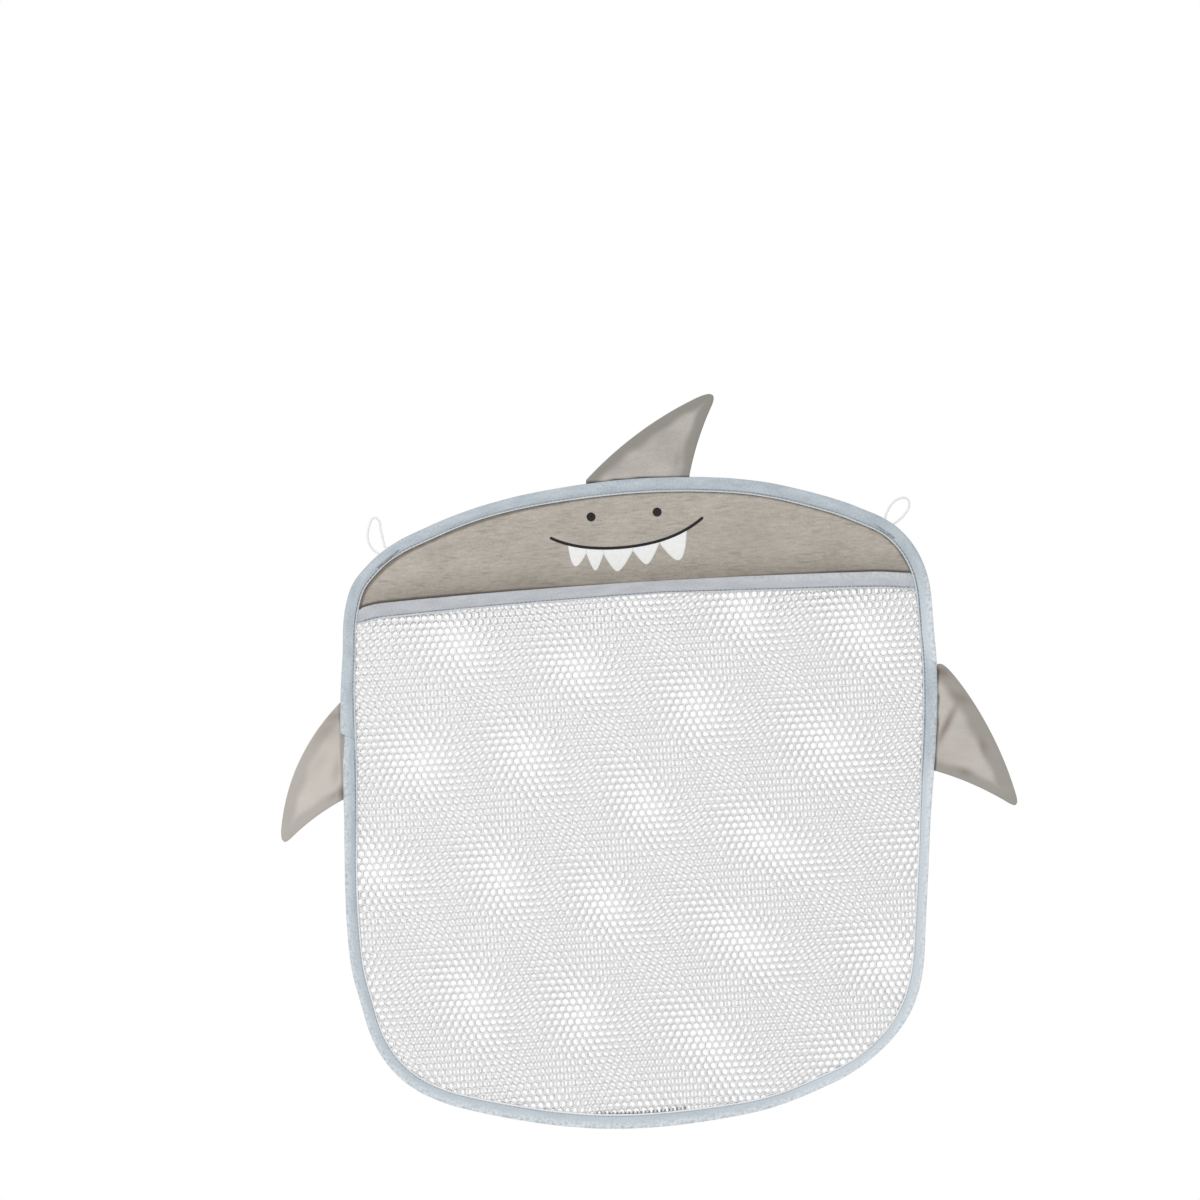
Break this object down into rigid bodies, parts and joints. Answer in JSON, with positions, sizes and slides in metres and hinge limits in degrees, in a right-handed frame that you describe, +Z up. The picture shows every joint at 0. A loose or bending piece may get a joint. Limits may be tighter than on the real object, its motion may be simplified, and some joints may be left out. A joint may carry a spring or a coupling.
{
  "type": "bath toy organizer",
  "caption": "Hanging net pocket bag for bath toys, with a cloth shark head and fins, a tape-bound edge, an open mouth and cord loops to hang it by.",
  "frame": {"origin": "on the wall, midway between the hanging loops and level with the hooks that they hang on", "axes": "+Z up, +X to the viewer's right, -Y out of the wall towards the viewer; the bag's back lies on the plane y = 0"},
  "size_m": [0.4954, 0.0276, 0.4904],
  "materials": {
    "binding_tape": "pale blue-grey woven polyester tape",
    "band_tape": "pale grey woven polyester tape",
    "net": "white knitted polyester net with six-sided gaps",
    "head_cloth": "warm grey woven cloth with fine horizontal slubs",
    "fin_cloth": "warm grey woven cloth, two plies turned and pressed",
    "clear_cord": "milky clear elastic cord",
    "thread": "dark grey sewing thread"
  },
  "bodies": {
    "bag": {"edge_binding": "binding_tape", "back_net": "net", "head_lining": "head_cloth", "head_front": "head_cloth", "front_net": "net", "mouth_band": "band_tape", "left_bar_tack": "thread", "right_bar_tack": "thread"},
    "dorsal_fin": {"dorsal_fin_front": "fin_cloth", "dorsal_fin_back": "fin_cloth"},
    "right_fin": {"right_fin_front": "fin_cloth", "right_fin_back": "fin_cloth"},
    "left_fin": {"left_fin_front": "fin_cloth", "left_fin_back": "fin_cloth"},
    "left_loop": {"left_hang_loop": "clear_cord"},
    "right_loop": {"right_hang_loop": "clear_cord"}
  },
  "joints": [
    {"name": "dorsal_fin_flop", "type": "hinge", "parent": "bag", "child": "dorsal_fin", "pos_m": [0.0024, -0.00215, 0.02487], "axis": [1, 0, -0.003], "range_deg": [-90, 90], "stiffness_Nm_per_rad": 0.002},
    {"name": "right_fin_flop", "type": "hinge", "parent": "bag", "child": "right_fin", "pos_m": [0.19416, -0.00215, -0.14413], "axis": [-0.0932, 0, -0.9956], "range_deg": [-90, 90], "stiffness_Nm_per_rad": 0.002},
    {"name": "left_fin_flop", "type": "hinge", "parent": "bag", "child": "left_fin", "pos_m": [-0.20695, -0.00215, -0.14937], "axis": [-0.0201, 0, -0.9998], "range_deg": [-90, 90], "stiffness_Nm_per_rad": 0.002},
    {"name": "left_loop_tilt", "type": "hinge", "parent": "bag", "child": "left_loop", "pos_m": [-0.17306, -0.00215, -0.01497], "axis": [0.8007, 0, 0.599], "range_deg": [-80, 80], "stiffness_Nm_per_rad": 0.0003},
    {"name": "right_loop_tilt", "type": "hinge", "parent": "bag", "child": "right_loop", "pos_m": [0.17005, -0.00215, -0.01396], "axis": [0.7771, 0, -0.6293], "range_deg": [-80, 80], "stiffness_Nm_per_rad": 0.0003}
  ]
}
